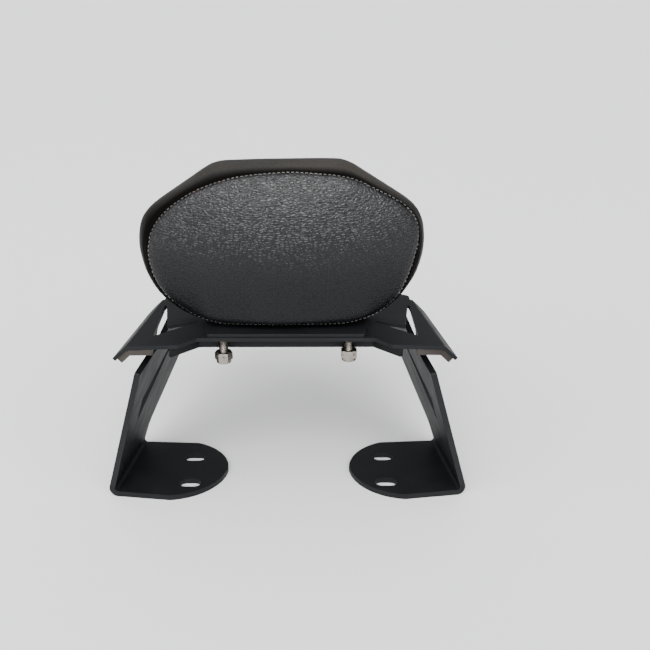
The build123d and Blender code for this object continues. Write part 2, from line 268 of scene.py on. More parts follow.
class Graph:
    """Adds nodes to a tree, and sets or links their inputs in the same call."""

    def __init__(self, tree: NodeTree) -> None:
        """Empties the tree and keeps it."""
        self.tree = tree
        tree.nodes.clear()

    def add(self, kind: str, inputs: dict[Any, Any] | None = None, **settings: Any) -> Node:
        """Adds one node.

        Args:
            kind: The node's type.
            inputs: Values or sockets by the input's name or number.
            settings: The node's own properties.

        Returns:
            The new node.
        """
        node = self.tree.nodes.new(kind)
        for key, value in settings.items():
            setattr(node, key, value)
        self.feed(node, inputs or {})
        return node

    def feed(self, node: Node, inputs: dict[Any, Any]) -> None:
        """Sets the inputs of a node, and links those that get a socket.

        Args:
            node: The node.
            inputs: Values or sockets by the input's name or number.
        """
        for key, value in inputs.items():
            if isinstance(value, NodeSocket):
                self.tree.links.new(value, node.inputs[key])
            else:
                node.inputs[key].default_value = value

    def math(self, operation: str, first: Any, second: Any = 0.0, third: Any = 0.0) -> NodeSocket:
        """Adds a Math node and gives its value."""
        node = self.add("ShaderNodeMath", {0: first, 1: second, 2: third}, operation=operation)
        return node.outputs[0]

    def ramp(
        self, value: Any, low: float, high: float, to_low: float = 0.0, to_high: float = 1.0
    ) -> NodeSocket:
        """Adds a smooth Map Range node and gives its value."""
        inputs = {"Value": value, "From Min": low, "From Max": high, "To Min": to_low, "To Max": to_high}
        return self.add("ShaderNodeMapRange", inputs, interpolation_type="SMOOTHSTEP").outputs[0]

    def blend(self, factor: Any, first: Any, second: Any) -> NodeSocket:
        """Adds a Mix node for colours and gives its colour."""
        node = self.add("ShaderNodeMix", {0: factor, 6: first, 7: second}, data_type="RGBA")
        return node.outputs[2]

    def group(self, tree: NodeTree, inputs: dict[str, Any]) -> Node:
        """Places a node group with its own values."""
        return self.add("ShaderNodeGroup", inputs, node_tree=tree)

    def noise(self, place: Any, scale: Any, detail: float = 2.0) -> Node:
        """Adds a Noise node."""
        return self.add("ShaderNodeTexNoise", {"Vector": place, "Scale": scale, "Detail": detail})

    def vector(self, operation: str, first: Any, second: Any) -> Node:
        """Adds a Vector Math node."""
        return self.add("ShaderNodeVectorMath", {0: first, 1: second}, operation=operation)

    def bump(self, height: Any, relief: float, **more: Any) -> NodeSocket:
        """Adds a Bump node with its relief in millimetres, and gives its normal."""
        return self.add("ShaderNodeBump", {"Height": height, "Distance": relief * MM, **more}).outputs[0]


def new_group(
    name: str, takes: dict[str, str], gives: dict[str, str]
) -> tuple[Graph, Node, Node]:
    """Starts a shader node group.

    Args:
        name: Name of the effect.
        takes: Input names with their socket types.
        gives: Output names with their socket types.

    Returns:
        Its graph, and its input and output nodes.
    """
    tree = bpy.data.node_groups.new(name, "ShaderNodeTree")
    for key, kind in takes.items():
        tree.interface.new_socket(key, in_out="INPUT", socket_type=kind)
    for key, kind in gives.items():
        tree.interface.new_socket(key, in_out="OUTPUT", socket_type=kind)
    graph = Graph(tree)
    return graph, graph.add("NodeGroupInput"), graph.add("NodeGroupOutput")


def pebble_group() -> NodeTree:
    """Makes the embossed grain of leatherette.

    Returns:
        A group that takes a place and a cell size and gives the height of the grain and its open creases.
    """
    takes = {"Place": VECTOR, "Cell": FLOAT, "Wander": FLOAT}
    graph, given, out = new_group("leatherette_grain", takes, {"Height": FLOAT, "Crease": FLOAT})
    per_metre = graph.math("DIVIDE", 1.0, given.outputs["Cell"])
    slow = graph.noise(given.outputs["Place"], 60.0)
    shift = graph.vector("SUBTRACT", slow.outputs["Color"], (0.5, 0.5, 0.5))
    wander = graph.add(
        "ShaderNodeVectorMath", {0: shift.outputs[0], "Scale": given.outputs["Wander"]}, operation="SCALE"
    )
    place = graph.vector("ADD", given.outputs["Place"], wander.outputs[0])
    cells = graph.add(
        "ShaderNodeTexVoronoi",
        {"Vector": place.outputs[0], "Scale": per_metre, "Randomness": 0.95},
        feature="DISTANCE_TO_EDGE",
    )
    dome = graph.ramp(cells.outputs["Distance"], 0.0, 0.32)
    fine_scale = graph.math("MULTIPLY", per_metre, 3.1)
    fine = graph.noise(place.outputs[0], fine_scale, 3.0)
    height = graph.math("MULTIPLY_ADD", fine.outputs[0], 0.1, dome)
    crease = graph.ramp(cells.outputs["Distance"], 0.0, 0.14, 1.0, 0.0)
    graph.feed(out, {"Height": height, "Crease": crease})
    return graph.tree


def speckle_group() -> NodeTree:
    """Makes the fine orange-peel of powder coat and the slow change of its tone.

    Returns:
        A group that takes a place and a grain size and gives the height, a sparse sparkle and the tone.
    """
    takes = {"Place": VECTOR, "Grain": FLOAT}
    gives = {"Height": FLOAT, "Sparkle": FLOAT, "Tone": FLOAT}
    graph, given, out = new_group("powder_texture", takes, gives)
    per_metre = graph.math("DIVIDE", 1.0, given.outputs["Grain"])
    peel = graph.noise(given.outputs["Place"], per_metre)
    cells = graph.add("ShaderNodeTexVoronoi", {"Vector": given.outputs["Place"], "Scale": per_metre})
    slow = graph.noise(given.outputs["Place"], 45.0, 3.0)
    sparkle = graph.ramp(cells.outputs["Distance"], 0.12, 0.0)
    graph.feed(out, {"Height": peel.outputs[0], "Sparkle": sparkle, "Tone": slow.outputs[0]})
    return graph.tree


def arris_group() -> NodeTree:
    """Makes softened sheet edges.

    Returns:
        A group that takes a radius and gives the rounded normal and a mask of the edges.
    """
    graph, given, out = new_group("soft_arris", {"Radius": FLOAT}, {"Normal": VECTOR, "Edge": FLOAT})
    rounded = graph.add("ShaderNodeBevel", {"Radius": given.outputs["Radius"]}, samples=6)
    plain = graph.add("ShaderNodeNewGeometry")
    turn = graph.vector("DOT_PRODUCT", rounded.outputs[0], plain.outputs["Normal"])
    edge = graph.ramp(turn.outputs["Value"], 0.99, 0.8)
    graph.feed(out, {"Normal": rounded.outputs[0], "Edge": edge})
    return graph.tree


class Effects:
    """The node groups, each built once."""

    def __init__(self) -> None:
        """Builds the groups."""
        self.pebble = pebble_group()
        self.speckle = speckle_group()
        self.arris = arris_group()


def new_material(name: str) -> tuple[Material, Graph, Node, NodeSocket]:
    """Starts a material with its Principled shader and Object coordinates.

    Args:
        name: Name of the finish.

    Returns:
        The material, its graph, the shader node and the socket of places.
    """
    material = bpy.data.materials.new(name)
    material.use_nodes = True
    graph = Graph(material.node_tree)
    shader = graph.add("ShaderNodeBsdfPrincipled")
    graph.add("ShaderNodeOutputMaterial", {"Surface": shader.outputs[0]})
    place = graph.add("ShaderNodeTexCoord").outputs["Object"]
    return material, graph, shader, place


def opaque(colour: Colour) -> tuple[float, float, float, float]:
    """Adds full alpha to a colour."""
    return (*colour, 1.0)


@dataclass(frozen=True)
class Finish:
    """What a piece can be finished in.

    Args:
        name: Name of the finish.
        tone: Main colour.
    """

    name: str
    tone: Colour

    def build(self, effects: Effects) -> Material:
        """Makes the material.

        Args:
            effects: The node groups.

        Returns:
            The material.
        """
        raise NotImplementedError


@dataclass(frozen=True)
class PowderCoat(Finish):
    """Black textured powder coat on sheet steel.

    Args:
        worn: Lighter colour of the arrises, a painted highlight.
        rough: Roughness of the flats.
        grain: Size of the texture in millimetres.
        relief: Height of the texture in millimetres.
        arris: Radius of the softened edges in millimetres.
        gloss: Specular level.
    """

    worn: Colour
    rough: float
    grain: float = 0.55
    relief: float = 0.05
    arris: float = 0.45
    gloss: float = 0.17

    def build(self, effects: Effects) -> Material:
        """See the base class."""
        material, graph, shader, place = new_material(self.name)
        peel = graph.group(effects.speckle, {"Place": place, "Grain": self.grain * MM})
        edge = graph.group(effects.arris, {"Radius": self.arris * MM})
        lighter = opaque(tuple(min(1.0, c * 1.35) for c in self.tone))
        base = graph.blend(graph.ramp(peel.outputs["Tone"], 0.35, 0.7), opaque(self.tone), lighter)
        # Lighter arrises with sparse brighter dots on them: a painted highlight and painted glints.
        sparkle = graph.math("MULTIPLY", peel.outputs["Sparkle"], edge.outputs["Edge"])
        arris_highlight_mask = graph.math("MULTIPLY_ADD", edge.outputs["Edge"], 0.35, sparkle)
        colour = graph.blend(graph.math("MINIMUM", arris_highlight_mask, 1.0), base, opaque(self.worn))
        rough = graph.ramp(peel.outputs["Tone"], 0.3, 0.7, self.rough - 0.04, self.rough + 0.05)
        normal = graph.bump(peel.outputs["Height"], self.relief, Normal=edge.outputs["Normal"], Strength=0.9)
        graph.feed(shader, {"Base Color": colour, "Roughness": rough, "Normal": normal})
        graph.feed(shader, {"Specular IOR Level": self.gloss})
        return material


@dataclass(frozen=True)
class BrightMetal(Finish):
    """Bare or plated steel with turning marks round an axis.

    Args:
        rough: Roughness of the metal.
        tarnish: Colour of the dull patches.
        turned: Spacing of the tool marks in millimetres.
    """

    rough: float
    tarnish: Colour
    turned: float = 0.25

    def build(self, effects: Effects) -> Material:
        """See the base class."""
        material, graph, shader, place = new_material(self.name)
        marks = graph.add("ShaderNodeMapping", {"Vector": place, "Scale": (0.12, 0.12, 1.0)})
        lines = graph.noise(marks.outputs[0], 1.0 / (self.turned * MM)).outputs[0]
        dull = graph.noise(place, 260.0, 4.0)
        edge = graph.group(effects.arris, {"Radius": 0.3 * MM})
        stained = graph.ramp(dull.outputs[0], 0.52, 0.72)
        colour = graph.blend(stained, opaque(self.tone), opaque(self.tarnish))
        rough = graph.ramp(lines, 0.3, 0.7, self.rough - 0.06, self.rough + 0.08)
        normal = graph.bump(lines, 0.02, Normal=edge.outputs["Normal"], Strength=0.5)
        graph.feed(shader, {"Base Color": colour, "Metallic": 1.0, "Roughness": rough, "Normal": normal})
        return material


@dataclass(frozen=True)
class MattSolid(Finish):
    """A plain matt plastic, rubber, thread or painted board with a fine grain.

    Args:
        mottle: Colour of its patches.
        rough: Roughness.
        grain: Size of the surface grain in millimetres.
        relief: Height of the grain in millimetres.
    """

    mottle: Colour
    rough: float
    grain: float = 0.6
    relief: float = 0.04

    def build(self, effects: Effects) -> Material:
        """See the base class."""
        material, graph, shader, place = new_material(self.name)
        peel = graph.group(effects.speckle, {"Place": place, "Grain": self.grain * MM})
        patches = graph.ramp(peel.outputs["Tone"], 0.38, 0.64)
        colour = graph.blend(patches, opaque(self.tone), opaque(self.mottle))
        normal = graph.bump(peel.outputs["Height"], self.relief)
        graph.feed(shader, {"Base Color": colour, "Roughness": self.rough, "Normal": normal})
        graph.feed(shader, {"Specular IOR Level": 0.25})
        return material


@dataclass(frozen=True)
class Leatherette:
    """Black leatherette, either pebbled with open creases or nearly smooth.

    Args:
        name: Name of the finish.
        grain: How the face is embossed.
        tone: Colour of the raised grain.
        crease: Colour in the creases of the grain, a painted shade; the smooth band also takes it as painted
            shade along the seam.
        rough: Roughness.
        cell: Size of the grain in millimetres.
        relief: Height of the grain in millimetres.
    """

    name: str
    grain: Grain
    tone: Colour
    crease: Colour
    rough: float
    cell: float
    relief: float

    def build(self, effects: Effects) -> Material:
        """See the base class."""
        material, graph, shader, place = new_material(self.name)
        flatten = (0.5, 1.0, 1.0) if self.grain is Grain.PEBBLED else (1.0, 1.0, 1.0)
        pressed = graph.add("ShaderNodeMapping", {"Vector": place, "Scale": flatten})
        coarse = graph.group(
            effects.pebble, {"Place": pressed.outputs[0], "Cell": self.cell * MM, "Wander": 1.6 * MM}
        )
        away = graph.add("ShaderNodeAttribute", attribute_name=SEAM_ATTRIBUTE).outputs["Fac"]
        # The creases of the grain are darker: a painted shade.
        tone = graph.blend(coarse.outputs["Crease"], opaque(self.tone), opaque(self.crease))
        slow = graph.noise(place, 22.0, 3.0)
        warmer = opaque((self.tone[0] * 1.35, self.tone[1] * 1.28, self.tone[2] * 1.18))
        colour = graph.blend(graph.ramp(slow.outputs[0], 0.45, 0.75, 0.0, 0.5), tone, warmer)
        up = graph.add("ShaderNodeSeparateXYZ", {"Vector": place}).outputs[2]
        reach = graph.ramp(up, *SEAM_SHADE_HEIGHTS, *SEAM_SHADE_REACHES)
        # Painted shade on the smooth band along the seam's valley: darker colour and weaker reflections near
        # the seam, over a width that grows lower down.
        clear_of_seam_shade = graph.ramp(graph.math("DIVIDE", away, reach), 0.12, 1.0, 0.04, 1.0)
        if self.grain is Grain.SMOOTH:
            colour = graph.blend(clear_of_seam_shade, opaque(self.crease), colour)
        rough = graph.math("MULTIPLY_ADD", coarse.outputs["Crease"], 0.18, self.rough)
        slant = {"Scale": (0.25, 1.0, 1.0), "Rotation": (0, 0.5, 0)}
        pull = graph.add("ShaderNodeMapping", {"Vector": place, **slant})
        folds = graph.noise(pull.outputs[0], 420.0)
        height = graph.math("MULTIPLY_ADD", folds.outputs[0], 1.1, coarse.outputs["Height"])
        stretched = graph.ramp(up, *PRESS_HEIGHTS, *PRESS_SHARES)
        normal = graph.bump(height, self.relief, Strength=stretched)
        if self.grain is Grain.PEBBLED:
            # Painted sheen: the panel's specular level rises towards the top and falls lower down.
            specular = graph.ramp(up, *PANEL_HEIGHTS, *PANEL_SHEEN_LEVELS)
        else:
            # Weaker reflections on the band near the seam: painted shade.
            specular = graph.math("MULTIPLY", clear_of_seam_shade, BAND_SPECULAR)
        graph.feed(shader, {"Base Color": colour, "Roughness": rough, "Normal": normal})
        graph.feed(shader, {"Specular IOR Level": specular})
        return material


@dataclass(frozen=True)
class Finishes:
    """The finish of each kind of piece, named as the record's slots where it has one."""

    coat: PowderCoat = PowderCoat("black_coat", (0.0062, 0.0067, 0.0078), (0.030, 0.032, 0.036), 0.54)
    steel: BrightMetal = BrightMetal("bright_steel", (0.31, 0.285, 0.255), 0.3, (0.11, 0.093, 0.076))
    screw: BrightMetal = BrightMetal("screw_steel", (0.03, 0.03, 0.032), 0.38, (0.015, 0.015, 0.017))
    nylon: MattSolid = MattSolid("nylon", (0.012, 0.013, 0.015), (0.02, 0.02, 0.022), 0.5)
    strip: MattSolid = MattSolid("strip", (0.026, 0.0215, 0.018), (0.041, 0.035, 0.030), 0.75, 0.9, 0.06)
    board: MattSolid = MattSolid("board", (0.03, 0.026, 0.022), (0.045, 0.038, 0.031), 0.8, 1.3, 0.12)
    panel: Leatherette = Leatherette(
        "leatherette_panel", Grain.PEBBLED, (0.0040, 0.0043, 0.0055), (0.0007, 0.0007, 0.0009),
        0.26, 1.8, 0.22,
    )
    band: Leatherette = Leatherette(
        "leatherette_band", Grain.SMOOTH, (0.0270, 0.0235, 0.0203), (0.0018, 0.0016, 0.0015), 0.55, 0.9, 0.012
    )
    thread: MattSolid = MattSolid("grey_thread", (0.085, 0.08, 0.075), (0.15, 0.14, 0.13), 0.7, 0.3, 0.03)
    rust_thread: MattSolid = MattSolid("rust_thread", (0.15, 0.085, 0.055), (0.2, 0.12, 0.08), 0.7, 0.3, 0.03)


class Wardrobe:
    """Every material of the rack, built once from its finish."""

    def __init__(self, finishes: Finishes) -> None:
        """Builds the materials."""
        effects = Effects()
        self.made = {key: getattr(finishes, key).build(effects) for key in finishes.__dataclass_fields__}

    def get(self, key: str) -> Material:
        """Looks up a material by its field in Finishes."""
        return self.made[key]


@dataclass
class CadDressing:
    """Gives the carried-over CAD nodes their materials.

    Args:
        slots: The record's slot names with the finish that each one takes.
    """

    slots: dict[str, str]

    def dress_all(self, frame: dict[str, Any], wardrobe: Wardrobe) -> int:
        """Dresses each node by the slot that the record gives it.

        Args:
            wardrobe: The materials.

        Returns:
            How many nodes were dressed.
        """
        rows = {row["node"]: row["material_slot"] for row in frame["record"]["subparts"]}
        for name, node in frame["nodes"].items():
            dress(node, wardrobe.get(self.slots[rows[name]]))
            LOG.info("dressed %s as %s", name, rows[name])
        return len(rows)


def closed_spline(points: Sequence[Point], count: int, soften: float) -> np.ndarray:
    """Turns an outline into evenly turned radii round its centre.

    Args:
        points: Corners of the outline, round the centre, in millimetres.
        count: How many directions.
        soften: Width of the smoothing, in directions.

    Returns:
        The radius in each direction, in millimetres.
    """
    places = np.array(points, float)
    closed = np.vstack([places, places[:1]])
    steps = np.linspace(0, 1, 40, endpoint=False)[:, None]
    dense = np.vstack([a + (b - a) * steps for a, b in zip(closed[:-1], closed[1:])])
    angles = np.arctan2(dense[:, 1], dense[:, 0])
    order = np.argsort(angles)
    wanted = np.linspace(-math.pi, math.pi, count, endpoint=False)
    radii = np.interp(wanted, angles[order], np.hypot(dense[:, 0], dense[:, 1])[order], period=2 * math.pi)
    reach = int(3 * soften) + 1
    weights = np.exp(-0.5 * (np.arange(-reach, reach + 1) / soften) ** 2)
    weights /= weights.sum()
    return sum(w * np.roll(radii, k) for w, k in zip(weights, range(-reach, reach + 1)))


@dataclass
class Cushion:
    """The padded backrest: a crowned front panel sewn to a smooth side band round a board.

    Args:
        middle: X of its middle, which sits a little off the rack's.
        roll: Degrees that its outline is turned on the upright, clockwise from the front.
        centre_height: Height over the plate of the centre that its outlines turn round.
        rim: Outline of the band where it is widest, as X and height over the plate, from the top down.
        seam: Outline of the front panel, as X and height over the plate.
        rim_depth: Y of the widest ring, behind the wings' front edge.
        seam_depth: Y of the seam, behind the wings' front edge.
        crown: How far the panel stands proud of its seam.
        sag: How far its lower side hangs below the outlines.
        foot: How far its lower side stands forward.
        shrink: What the form is drawn larger by, since the remesh and the seam's dip take it back.
        around: Points of a ring.
        voxel: Length of a face of the slack form.
        pressure: Pressure of the foam on the cover.
        frames: Frames of the simulation.
        cap: How far the cover may move in it.
        slack: How far the slack form lies under the full one.
        lean: Power by which the band turns in towards the seam.
        dome: Power by which the panel's dome falls off towards the seam.
        soften_rim: Smoothing of the band's outline, in ring points.
        soften_seam: Smoothing of the seam, in ring points.
        back_hold: Depth of the strip at the back that the board holds.
        seam_hold: Distance from the seam within which the cover is held.
        side: How far behind the seam the panel's own side still lies.
        gap: What the board's recess is wider than the board by.
    """

    middle: float = -3.2
    roll: float = -1.0
    centre_height: float = 72.0
    rim: tuple[Point, ...] = (
        (0, 136.8), (30, 136.8), (50.5, 136.4), (58.5, 132.6), (72.2, 123.4), (87.2, 113.6),
        (102.4, 103.6), (110.2, 97.0), (113.4, 91.0), (115.0, 84.0), (115.9, 75.0), (116.0, 67.0),
        (114.4, 58.0), (111.8, 48.0), (107.1, 37.5), (98.4, 26.0), (85.8, 16.5), (70, 10.0),
        (49.5, 7.2), (24, 6.8), (0, 6.8),
    )
    seam: tuple[Point, ...] = (
        (-111, 71), (-110, 83), (-105, 92), (-97.5, 102), (-85, 111.5), (-72, 120), (-54, 127), (-36, 132),
        (-18, 134), (5, 135.6), (26, 134), (49, 132), (62, 127), (80, 117), (97, 108.5), (105, 100),
        (108.6, 90.5), (108, 79), (103.6, 58.6), (94, 32), (81, 19), (66, 11), (47, 7.6), (-6, 7.4),
        (-55, 7.6), (-71.5, 12), (-90, 24), (-104, 38), (-110, 55),
    )
    rim_depth: float = 52.0
    seam_depth: float = 30.0
    crown: float = 17.0
    sag: float = 0.9
    foot: float = 6.0
    shrink: float = 1.3
    around: int = 168
    voxel: float = 4.0
    pressure: float = 4.0
    frames: int = 20
    cap: float = 6.0
    slack: float = 1.8
    lean: float = 2.1
    dome: float = 0.85
    soften_rim: float = 1.1
    soften_seam: float = 2.2
    back_hold: float = 6.0
    seam_hold: float = 3.0
    side: float = 6.0
    gap: float = 0.6

    def lowness(self, turns: np.ndarray) -> np.ndarray:
        """Gives how far down each direction from the middle points, from 0 to 1."""
        return np.maximum(0.0, -np.sin(turns)) ** 3

    def seam_radii(self, count: int, soften: float) -> np.ndarray:
        """Gives the seam's distance from the middle in each of so many directions, in millimetres."""
        points = [(x - self.middle, z - self.centre_height) for x, z in self.seam]
        return closed_spline(points, count, soften)

    def loft(self) -> Object:
        """Builds the slack form as rings from the back, over the band and the seam, to the panel's middle.

        Returns:
            The closed form.
        """
        mirrored = [(-x, z) for x, z in reversed(self.rim[1:-1])]
        cos, sin = math.cos(math.radians(self.roll)), math.sin(math.radians(self.roll))
        upright = [(x, z - self.centre_height) for x, z in [*self.rim, *mirrored]]
        rolled = [(x * cos + z * sin, z * cos - x * sin) for x, z in upright]
        rim = closed_spline(rolled, self.around, self.soften_rim) + self.shrink
        seam = self.seam_radii(self.around, self.soften_seam) + self.shrink
        back, rim_y, seam_y = UPRIGHT_FACE, WING_FRONT + self.rim_depth, WING_FRONT + self.seam_depth
        rings: list[tuple[np.ndarray, float | np.ndarray]] = []
        turns = np.linspace(-math.pi, math.pi, self.around, endpoint=False)
        low = self.lowness(turns)
        seam += self.sag * low
        rim += self.sag * low
        front_y = seam_y - self.foot * low
        for share in (0.25, 0.5, 0.75):
            rings.append((rim * share, back))
        for inset, ahead in BACK_EDGE:
            rings.append((rim - inset, back - ahead))
        for share in np.linspace(0.2, 1.0, 4):
            rings.append((rim - inset * (1 - share) ** 2, back - ahead + (rim_y - back + ahead) * share))
        for share in np.linspace(0.14, 1.0, 7):
            radii = rim + (seam - rim) * share**self.lean - self.slack * math.sin(math.pi * share)
            rings.append((radii, rim_y + (front_y - rim_y) * share))
        for share in np.linspace(0.96, 0.05, 22):
            swell = (1 - share * share) ** self.dome
            base = seam_y + (front_y - seam_y) * share * share
            rings.append((seam * share, base - (self.crown - self.slack) * swell))
        centre = PLATE_TOP + self.centre_height
        verts = [
            ((self.middle + r * math.cos(t)) * MM, y * MM, (centre + r * math.sin(t)) * MM)
            for radii, depth in rings
            for r, t, y in zip(radii, turns, np.broadcast_to(depth, radii.shape))
        ]
        faces = [
            (i * self.around + k, i * self.around + (k + 1) % self.around,
             (i + 1) * self.around + (k + 1) % self.around, (i + 1) * self.around + k)
            for i in range(len(rings) - 1)
            for k in range(self.around)
        ]
        faces.append(tuple(reversed(range(self.around))))
        faces.append(tuple(range((len(rings) - 1) * self.around, len(rings) * self.around)))
        mesh = bpy.data.meshes.new("cushion_cover")
        mesh.from_pydata(verts, [], faces)
        obj = placed("cushion_cover", mesh)
        close_up(obj)
        return obj

    def fill(self, obj: Object) -> None:
        """Swells the form as cloth under the pressure of its foam, held at its back and at its seam.

        Args:
            obj: The slack form, remeshed evenly.
        """
        rest = points_of(obj)
        depth = rest[:, 1] / MM
        held = obj.vertex_groups.new(name="held")
        to_seam = self.seam_distance(rest)
        for index, (y, near) in enumerate(zip(depth, to_seam)):
            at_seam = 0.96 if near < self.seam_hold else 0.0
            weight = 1.0 if y > UPRIGHT_FACE - self.back_hold else at_seam
            if weight:
                held.add([index], weight, "REPLACE")
        cloth = obj.modifiers.new("cover", "CLOTH")
        settings = cloth.settings
        settings.vertex_group_mass = "held"
        settings.use_pressure = True
        settings.uniform_pressure_force = self.pressure
        settings.tension_stiffness = 20
        settings.bending_stiffness = 2
        settings.effector_weights.gravity = 0
        cloth.point_cache.frame_start = 1
        cloth.point_cache.frame_end = self.frames
        for frame in range(1, self.frames + 1):
            bpy.context.scene.frame_set(frame)
        graph = bpy.context.evaluated_depsgraph_get()
        swollen = np.zeros(len(rest) * 3)
        obj.evaluated_get(graph).data.vertices.foreach_get("co", swollen)
        obj.modifiers.remove(cloth)
        step = swollen.reshape(-1, 3) - rest
        length = np.linalg.norm(step, axis=1)
        share = np.minimum(1.0, self.cap * MM / np.maximum(length, 1e-9))
        LOG.info("the cover moved by %.1f mm at most", length.max() / MM)
        move_points(obj, rest + step * share[:, None])
        bpy.context.scene.frame_set(1)

    def seam_line(self) -> np.ndarray:
        """Gives the seam as a dense closed line.

        Returns:
            X and Z of its points, in metres.
        """
        radii = self.seam_radii(SEAM_POINTS, self.soften_seam * SEAM_POINTS / self.around)
        turns = np.linspace(-math.pi, math.pi, SEAM_POINTS, endpoint=False)
        across = self.middle + radii * np.cos(turns)
        up = PLATE_TOP + self.centre_height + radii * np.sin(turns)
        return np.column_stack([across, up]) * MM

    def seam_distance(self, places: np.ndarray) -> np.ndarray:
        """Measures how far places in front of the rim are from the seam, as seen from the front.

        Args:
            places: One row a place, in metres.

        Returns:
            The distance of each in millimetres, below zero on the panel.
        """
        line = self.seam_line()
        flat = places[:, [0, 2]]
        middle = np.array([self.middle, PLATE_TOP + self.centre_height]) * MM
        from_middle = flat - middle
        turn = np.arctan2(from_middle[:, 1], from_middle[:, 0])
        slots = ((turn + math.pi) / (2 * math.pi) * len(line)).astype(int) % len(line)
        best = np.full(len(flat), 1e9)
        for shift in SEARCH:
            best = np.minimum(best, np.linalg.norm(flat - line[(slots + shift) % len(line)], axis=1))
        inside = np.linalg.norm(from_middle, axis=1) < np.linalg.norm(line[slots] - middle, axis=1)
        seam_y = WING_FRONT + self.seam_depth - self.foot * self.lowness(turn)
        depth = places[:, 1] / MM - seam_y
        out = np.where(inside, -best, best) / MM
        full = np.hypot(out, np.maximum(0.0, depth))
        return np.where((out + depth < 0.0) & (depth < self.side), -full, full)

    def sew(self, obj: Object) -> None:
        """Presses the seam's valley into the cover.

        Args:
            obj: The swollen form, subdivided.
        """
        places = points_of(obj)
        near = self.seam_distance(places)
        valley = sum(deep * np.exp(-(((near - at) / wide) ** 2)) for deep, at, wide in SEAM_WAVES)
        move_points(obj, places - points_of(obj, "normal") * (valley * MM)[:, None])

    def clothe(self, obj: Object, wardrobe: Wardrobe) -> None:
        """Gives the panel and the band their two finishes, on either side of the seam.

        Args:
            obj: The cover.
            wardrobe: The materials.
        """
        for key in ("panel", "band"):
            obj.data.materials.append(wardrobe.get(key))
        centres = np.array([p.center for p in obj.data.polygons])
        on_band = self.seam_distance(centres) > -0.3
        obj.data.polygons.foreach_set("material_index", on_band.astype(np.int32))
        obj.data.update()

    def build(self, wardrobe: Wardrobe) -> Object:
        """Makes the finished cushion cover.

        Args:
            wardrobe: The materials.

        Returns:
            The cover.
        """
        obj = self.loft()
        even_out(obj, self.voxel)
        self.fill(obj)
        smooth = obj.modifiers.new("round", "SUBSURF")
        smooth.levels = smooth.render_levels = 2
        apply_modifiers(obj)
        self.sew(obj)
        self.pocket(obj)
        self.note_seam(obj)
        self.clothe(obj, wardrobe)
        pick(obj)
        bpy.ops.object.shade_smooth()
        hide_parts("cushion")
        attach(obj, BODY)
        return obj

    def note_seam(self, obj: Object) -> None:
        """Stores how far each point is from the seam, in millimetres, for the band's painted shade along the
        seam.
        """
        attribute = obj.data.attributes.new(SEAM_ATTRIBUTE, "FLOAT", "POINT")
        attribute.data.foreach_set("value", np.abs(self.seam_distance(points_of(obj))).astype(np.float32))

    def pocket(self, obj: Object) -> None:
        """Cuts the recess that the board lies in, with its own thin gap.

        Args:
            obj: The cover.
        """
        board = bpy.data.objects["backboard"]
        low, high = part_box("backboard")
        tool = placed("pocket_tool", board.data.copy())
        middle = (low + high) / 2
        places = points_of(tool)
        size = np.array(high - low)
        grow = (size + self.gap * MM) / size
        moved = (places - np.array(middle)) * grow + np.array(middle)
        behind = places[:, 1] > high.y - 1e-5
        moved[behind, 1] = high.y + 2 * MM
        move_points(tool, moved)
        close_up(tool, WELD)
        cut = obj.modifiers.new("pocket", "BOOLEAN")
        cut.operation = "DIFFERENCE"
        cut.solver = "EXACT"
        cut.object = tool
        apply_modifiers(obj)
        bpy.data.objects.remove(tool)


